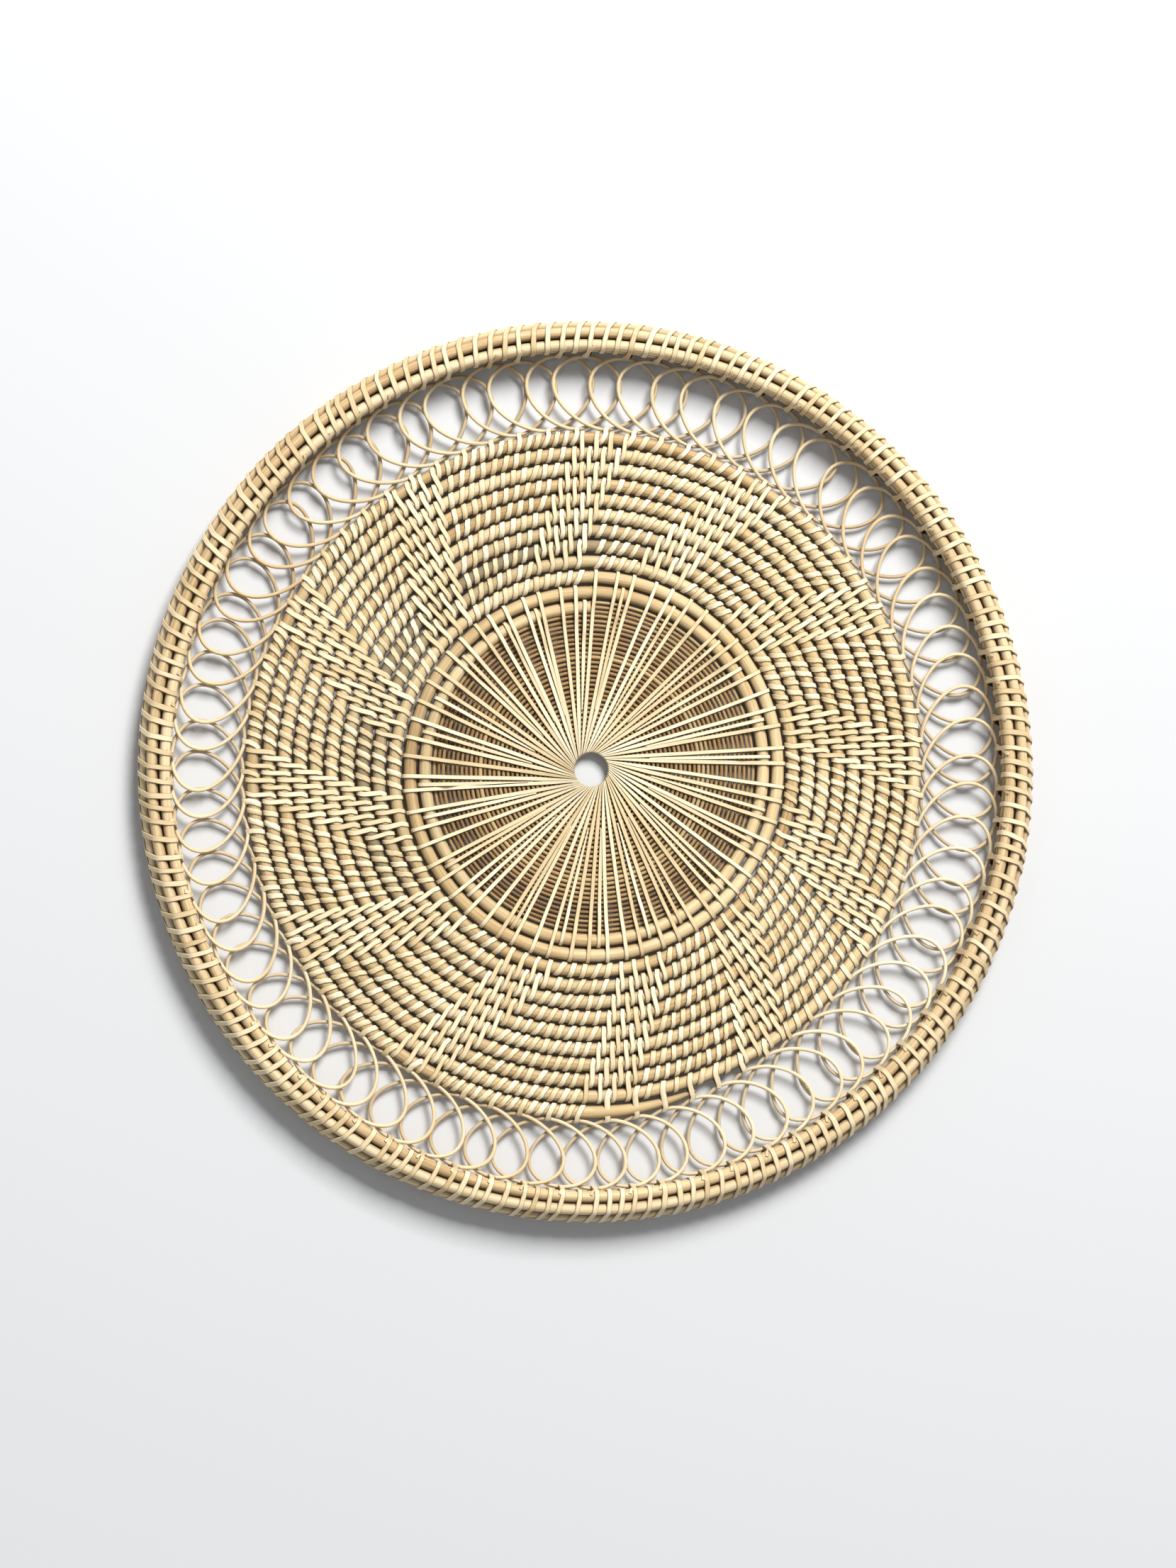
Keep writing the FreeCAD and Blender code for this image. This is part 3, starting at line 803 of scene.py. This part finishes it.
def edgeStitchShapes():
    # one strip for each loop, round the outermost row and the strand that lies beside it
    shapes = []
    for k, (direction, turn) in enumerate(zip(stitchDirections, stitchTurns)):
        chance = np.random.default_rng(200 + k)
        centreY, rho = halfTurn(turn)
        row = float(rho + centreY * math.sin(math.radians(direction)))
        gap = float(edgeRadius(direction)) + besideMat - row
        circles = [nearCircle, rodCircle, (gap, matHeight, strandRadius + 0.05 * mm)]
        shapes.append(bandShape(turn, circles, 20, wrap["width"], wrap["slant"], chance))
    return joined(shapes)


piece("loopEdgeStitches", edgeStitchShapes(), stripSkin, ["loop_edge_stitches"])
print("mat strips made:", sum(len(p) for p in armPlaces), "long stitches")


# centre: fine strands in a three-start spiral

fine = {
    "starts": 3, "turns": 10, "pointsPerTurn": 110, "sides": 8,
    "room": 1.9 * mm,        # thickness that the spiral leaves room for
    "shown": 1.55 * mm,      # thickness of the strands
    "eyeGap": 0.7 * mm, "rodGap": 0.1 * mm,
    "thickRing": [49.5 * mm, 1.1 * mm],   # radius and half breadth of a ring of thicker strands
    "darkRings": [[0.5, 62.5 * mm, 3 * mm], [0.3, 36 * mm, 2 * mm]],   # share, radius, half breadth
}
borderStart = coilStart - 2 * coilPitch
fineFirst = holeRadius + fine["eyeGap"] + fine["room"] / 2
fineLast = borderStart - rodRadius - fine["rodGap"] - fine["room"] / 2
finePitch = (fineLast - fineFirst) / (fine["turns"] - 1 / fine["starts"])


def fineStrand(k):
    # spiral whose radius grows evenly with the turn, straying in and out, thick and thin; rings
    # fade to either side as a bell curve of the radius
    start = -k / fine["starts"]
    count = int((fine["turns"] - start) * fine["pointsPerTurn"])
    turn = np.linspace(start, fine["turns"], count)
    radius = fineFirst + k * finePitch / fine["starts"] + (turn - start) * finePitch
    ring = radius / (finePitch / fine["starts"])
    radius = radius + 0.16 * mm * wander(turn, 300 + k, (1, 2, 3, 5, 7)) * np.clip(turn, 0.2, 1)
    z = matHeight + 0.10 * mm * wander(turn, 310 + k, (2, 5, 9))
    bearing = 2 * np.pi * (turn + 0.25)
    path = np.stack([radius * np.cos(bearing), radius * np.sin(bearing), z], -1)
    bell = lambda middle, breadth: np.exp(-((radius - middle) / breadth) ** 2)
    thick = bell(*fine["thickRing"])
    size = 0.98 + 0.1 * wander(turn / 10, 320 + k, (3, 7, 11, 19)) + 0.3 * thick
    bands = sum(share * bell(middle, breadth) for share, middle, breadth in fine["darkRings"])
    tone = 0.62 + 0.45 * wander(ring / 30, 330 + k, (5, 9, 14)) - bands + 0.4 * thick
    grey = np.clip(bands * 0.8 + 0.2 * wander(turn / 10, 340 + k, (3, 8)), 0, 1)
    profile = roundProfile(fine["shown"] / 2, fine["sides"])
    return sweep(path, (0, 0, 1), profile, False, size, size, tone, grey, 350 + k)


for k in range(fine["starts"]):
    node = "centre_fine_strand_%d" % (k + 1)
    piece("centreFineStrand%d" % (k + 1), fineStrand(k), fineSkin, [node])
print("fine strands made")


# centre: flat strips through the hole and out over the border rods

spoke = {
    "count": 62, "width": 1.8 * mm, "thickness": 0.5 * mm, "points": 92,
    "swirl": 4.8 * mm,       # how far each strip's line passes the centre by
    "first": 3.95,           # direction of the first one, degrees
    "share": 0.78,           # most of the room between two strips that one may fill
    "uneven": 0.35 * mm,     # how far a strip strays sideways
    "climbFrom": 9.5 * mm,   # how far inside the border rods it starts to rise to them
    "climb": 8.2 * mm,       # and over what length
    "leanTo": 27 * mm,       # distance out at which the lean by the hole has gone
    "shortCount": 24, "shortStart": 27 * mm, "shortFull": 45 * mm, "shortWidth": 1.7 * mm,
    "shortTip": 0.6 * mm,
}


def spokeLine(reach, inner):
    # closed outline of one strip in its own upright plane: out along the top, low over the fine
    # strands and up over the border rods, round the last rod and back along the underside
    low = fine["room"] / 2 + 0.05 * mm
    high = rodRadius + 0.06 * mm
    out = np.linspace(0, 1, spoke["points"] // 2 - 7)
    x = inner + (reach - inner) * (1 - (1 - out) ** 1.15)
    climb = np.clip((x - (reach - coilPitch - spoke["climbFrom"])) / spoke["climb"], 0, 1)
    z = low + (high - low) * climb * climb * (3 - 2 * climb)
    bend = np.linspace(80, -80, 7) * np.pi / 180
    spread = rodRadius * (coil["borderBroad"] - 1)
    roundX, roundZ = reach + spread + high * np.cos(bend), high * np.sin(bend)
    eye = np.linspace(260, 100, 7) * np.pi / 180
    eyeX, eyeZ = inner + low * 0.55 * np.cos(eye), low * np.sin(eye)
    return (
        np.concatenate([x, roundX, x[::-1], eyeX]),
        np.concatenate([z, roundZ, -z[::-1], eyeZ]),
    )


def spokeShape(direction, offset, reach, inner, widths, seed, tone):
    # the outline set off sideways by the swirl; near the hole the strip is as narrow as a share of
    # the spacing allows, and leans a little like a slat by thickness over spacing
    x, z = spokeLine(reach, inner)
    chance = np.random.default_rng(seed)
    loose = np.clip((x - 12 * mm) / (30 * mm), 0, 1)
    y = offset + spoke["uneven"] * wander(x / 0.4, seed + 1, (1, 2, 3)) * loose
    spacing = x * math.tan(2 * math.pi / spoke["count"])
    lean = np.clip(0.4 * spoke["thickness"] / spacing, 0, 0.3)
    lean = lean * np.clip((spoke["leanTo"] - x) / (6 * mm), 0, 1)
    face = np.sign(z)
    ahead = np.stack([np.roll(x, -1) - np.roll(x, 1), 0 * x, np.roll(z, -1) - np.roll(z, 1)], -1)
    flat = np.cross(unit(ahead), (0, 1.0, 0))
    flat = flat * np.where((flat * np.stack([0 * x, 0 * x, z], -1)).sum(-1) < 0, -1, 1)[:, None]
    lift = np.abs(lean) * spoke["width"] / 4
    z = z + face * lift
    up = unit(flat + np.stack([0 * x, lean * 1.2, 0 * x], -1))
    turned = math.radians(direction)
    c, s = math.cos(turned), math.sin(turned)
    swing = np.array([[c, s, 0], [-s, c, 0], [0, 0, 1]])
    path = np.stack([x, y, matHeight + z], -1) @ swing
    wide = np.interp(x, *widths) * chance.uniform(0.93, 1.05)
    wide = np.minimum(wide, spoke["share"] * spacing)
    profile = stripProfile(1.0, spoke["thickness"], 0.82)
    return sweep(path, up @ swing, profile, True, wide, 1.0, tone, seed=seed)


def borderReach(direction, rods):
    # distance out along a strip to the centre line of the last border rod that it goes over
    turn = (direction + math.degrees(spoke["swirl"] / coilStart) - 90) % 360 - 360 * (3 - rods)
    centreY, rho = halfTurn(turn)
    radius = float(rho + centreY * math.sin(math.radians(direction)))
    return math.sqrt(radius ** 2 - spoke["swirl"] ** 2) + coil["borderShift"] * (2 - rods)


def spokeSet():
    # all long strips at even directions, each strayed a little, from the hole over both border rods
    shapes = []
    for i in range(spoke["count"]):
        chance = np.random.default_rng(400 + i)
        direction = spoke["first"] + (i + chance.uniform(-0.12, 0.12)) * 360 / spoke["count"]
        eye = holeRadius + spoke["thickness"]
        inner = math.sqrt(eye ** 2 - spoke["swirl"] ** 2) + 0.55 * mm
        widths = ([4 * mm, 20 * mm], [1.9 * mm, spoke["width"]])
        shapes.append(spokeShape(
            direction, spoke["swirl"], borderReach(direction, 2), inner, widths, 400 + i,
            chance.uniform(0.4, 0.95)))
    return joined(shapes)


def shortSpokeSet():
    # short strips about midway between two long ones, from a narrow tip over one border rod
    shapes = []
    for i in range(spoke["shortCount"]):
        chance = np.random.default_rng(500 + i)
        gap = round((i + 0.5) * spoke["count"] / spoke["shortCount"]) + chance.uniform(0.44, 0.56)
        direction = spoke["first"] + gap * 360 / spoke["count"]
        start = spoke["shortStart"]
        widths = ([start, spoke["shortFull"]], [spoke["shortTip"], spoke["shortWidth"]])
        shapes.append(spokeShape(
            direction, spoke["swirl"], borderReach(direction, 1), start, widths, 500 + i,
            chance.uniform(0.4, 0.95)))
    return joined(shapes)


piece("centreSpokes", spokeSet(), spokeSkin, ["centre_spokes"])
piece("centreShortSpokes", shortSpokeSet(), spokeSkin, ["centre_short_spokes"])
print("spokes made")


# floor, light and camera

stageSetup = {
    "floor": 3.0,            # half the floor's width
    "distance": 1.5, "seenHeight": 0.695,
    "fromLeft": 7.5, "fromBelow": 2.5,   # degrees that the camera stands off from straight above
    "aimX": -0.0021, "aimY": -0.0066,
    "floorTone": colour(208, 211, 216), "floorRough": 0.7, "world": 0.3,
}
keyLamp = {"place": (0.85, 2.1, 2.5), "size": 1.3, "power": 176, "warmth": (1.0, 0.97, 0.92)}
fillLamp = {"place": (-1.2, -0.8, 1.6), "size": 1.2, "power": 2, "warmth": (0.95, 0.97, 1.0)}


def stageFloor():
    # a flat square on the surface that the tray stands on
    half = stageSetup["floor"]
    mesh = bpy.data.meshes.new("floor")
    corners = [(-half, -half, 0), (half, -half, 0), (half, half, 0), (-half, half, 0)]
    mesh.from_pydata(corners, [], [(0, 1, 2, 3)])
    made = bpy.data.objects.new("floor", mesh)
    bpy.context.scene.collection.objects.link(made)
    material = bpy.data.materials.new("paleFloor")
    material.use_nodes = True
    shader = material.node_tree.nodes["Principled BSDF"]
    shader.inputs["Base Color"].default_value = stageSetup["floorTone"]
    shader.inputs["Roughness"].default_value = stageSetup["floorRough"]
    mesh.materials.append(material)
    made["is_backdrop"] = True


def areaLight(name, look):
    # a square lamp at its place, turned to face the tray's centre
    lamp = bpy.data.lights.new(name, "AREA")
    lamp.size, lamp.energy, lamp.color = look["size"], look["power"], look["warmth"]
    made = bpy.data.objects.new(name, lamp)
    made.location = look["place"]
    made.rotation_euler = (-Vector(look["place"])).to_track_quat("-Z", "Y").to_euler()
    bpy.context.scene.collection.objects.link(made)


def stageCamera():
    # looks down at the middle of the tray from a little to the left and towards the near side; its
    # three axes are right, up and back, and the lens is such that the given height is seen
    low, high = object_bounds()
    middle = (low + high) / 2 + Vector((stageSetup["aimX"], stageSetup["aimY"], 0))
    left, below = math.radians(stageSetup["fromLeft"]), math.radians(stageSetup["fromBelow"])
    back = Vector((-math.sin(left), -math.sin(below), math.cos(left) * math.cos(below)))
    back.normalize()
    right = (Vector((1, 0, 0)) - back * back.x).normalized()
    up = back.cross(right)
    turn = Matrix([[right[i], up[i], back[i]] for i in range(3)])
    camera = bpy.data.objects.new("camera", bpy.data.cameras.new("camera"))
    camera.data.lens = 36 * stageSetup["distance"] / stageSetup["seenHeight"]
    camera.location = middle + back * stageSetup["distance"]
    camera.rotation_mode = "QUATERNION"
    camera.rotation_quaternion = turn.to_quaternion()
    bpy.context.scene.collection.objects.link(camera)
    bpy.context.scene.camera = camera


stageFloor()
areaLight("keyLight", keyLamp)
areaLight("fillLight", fillLamp)
world = bpy.data.worlds.new("studio")
world.use_nodes = True
world.node_tree.nodes["Background"].inputs["Color"].default_value = (1.0, 1.0, 1.0, 1.0)
world.node_tree.nodes["Background"].inputs["Strength"].default_value = stageSetup["world"]
bpy.context.scene.world = world
bpy.context.scene.view_settings.view_transform = "Standard"
stageCamera()

print("stage set")
